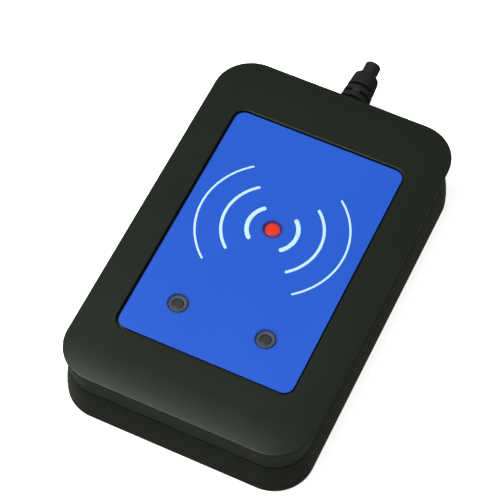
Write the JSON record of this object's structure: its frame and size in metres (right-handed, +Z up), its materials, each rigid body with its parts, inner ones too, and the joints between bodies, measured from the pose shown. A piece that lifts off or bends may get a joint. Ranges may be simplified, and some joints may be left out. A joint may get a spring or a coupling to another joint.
{
  "type": "desktop rfid card reader",
  "caption": "Flat desktop RFID card reader: two-shell plastic case, let-in blue overlay with indicator windows, slotted flexible strain relief and cable lead.",
  "frame": {"origin": "centre of the bottom shell's flat underside; the feet stand 0.9 mm below it", "axes": "+Z up through the overlay, +Y towards the cable, +X to the right seen from the front"},
  "size_m": [0.056, 0.104, 0.0179],
  "materials": {
    "case_plastic": "fine moulded texture, dark grey",
    "overlay_blue": "satin printed polyester film",
    "print_white": "screen-printed ink",
    "red_lens": "translucent tinted moulding",
    "smoked_lens": "translucent smoked moulding",
    "bezel_grey": "moulded satin grey",
    "foot_rubber": "soft moulded rubber",
    "label_film": "blank satin polyester label",
    "screw_steel": "zinc plated",
    "board_green": "solder mask over copper",
    "copper_wire": "enamelled copper winding",
    "amber_tape": "polyimide tape",
    "white_foam": "closed-cell adhesive foam",
    "chip_black": "moulded epoxy",
    "can_metal": "drawn can",
    "can_aluminium": "drawn can",
    "resistor_black": "glazed chip",
    "capacitor_tan": "fired ceramic chip",
    "led_white": "moulded body with clear window",
    "nylon_white": "natural nylon",
    "tinned_pin": "tin plate",
    "wire_red": "soft insulation",
    "wire_white": "soft insulation",
    "wire_green": "soft insulation",
    "wire_black": "soft insulation",
    "bare_wire": "tinned strands",
    "cable_jacket": "soft extruded jacket",
    "conductor_insulation": "coloured insulation",
    "boot_rubber": "soft overmoulding"
  },
  "bodies": {
    "case": {"antenna_coil": "copper_wire", "boot_neck": "boot_rubber", "bottom_shell": "case_plastic", "buzzer": "chip_black", "cable_inner": "cable_jacket", "cable_tie": "nylon_white", "case_screws": "screw_steel", "centre_light_pipe": "red_lens", "chip_capacitors": "capacitor_tan", "chip_resistors": "resistor_black", "coil_foam_pads": "white_foam", "coil_leads": "copper_wire", "coil_tape_bands": "amber_tape", "crystal_can": "can_metal", "electrolytic_capacitor": "can_aluminium", "front_overlay": "overlay_blue", "header_pins": "tinned_pin", "indicator_leds": "led_white", "left_light_pipe": "smoked_lens", "left_window_bezel": "bezel_grey", "main_pcb": "board_green", "microcontroller": "chip_black", "pcb_screws": "screw_steel", "printed_arcs": "print_white", "rating_label": "label_film", "reader_chip": "chip_black", "right_light_pipe": "smoked_lens", "right_window_bezel": "bezel_grey", "rubber_feet": "foot_rubber", "top_cover": "case_plastic", "voltage_regulator": "chip_black", "wire_black": "wire_black", "wire_drain": "bare_wire", "wire_green": "wire_green", "wire_header": "nylon_white", "wire_plug": "nylon_white", "wire_red": "wire_red", "wire_white": "wire_white"},
    "boot_link_1": {"boot_ring_1": "boot_rubber", "cable_link_1": "cable_jacket"},
    "boot_link_2": {"boot_ring_2": "boot_rubber", "cable_link_2": "cable_jacket"},
    "cable_tip": {"boot_tip": "boot_rubber", "cable_lead": "cable_jacket", "lead_shield": "bare_wire", "lead_conductors": "conductor_insulation"}
  },
  "joints": [
    {"name": "boot_pitch_1", "type": "hinge", "parent": "case", "child": "boot_link_1", "pos_m": [0, 0.04782, 0.008], "axis": [1, 0, 0], "range_deg": [-12, 12], "stiffness_Nm_per_rad": 0.0005},
    {"name": "boot_yaw", "type": "hinge", "parent": "boot_link_1", "child": "boot_link_2", "pos_m": [0, 0.04988, 0.008], "axis": [0, 0, 1], "range_deg": [-12, 12], "stiffness_Nm_per_rad": 0.0005},
    {"name": "boot_pitch_2", "type": "hinge", "parent": "boot_link_2", "child": "cable_tip", "pos_m": [0, 0.05203, 0.008], "axis": [1, 0, 0], "range_deg": [-12, 12], "stiffness_Nm_per_rad": 0.0005}
  ],
  "couplings": [
    {"joint": "boot_pitch_2", "follows": "boot_pitch_1", "ratio": 1}
  ]
}
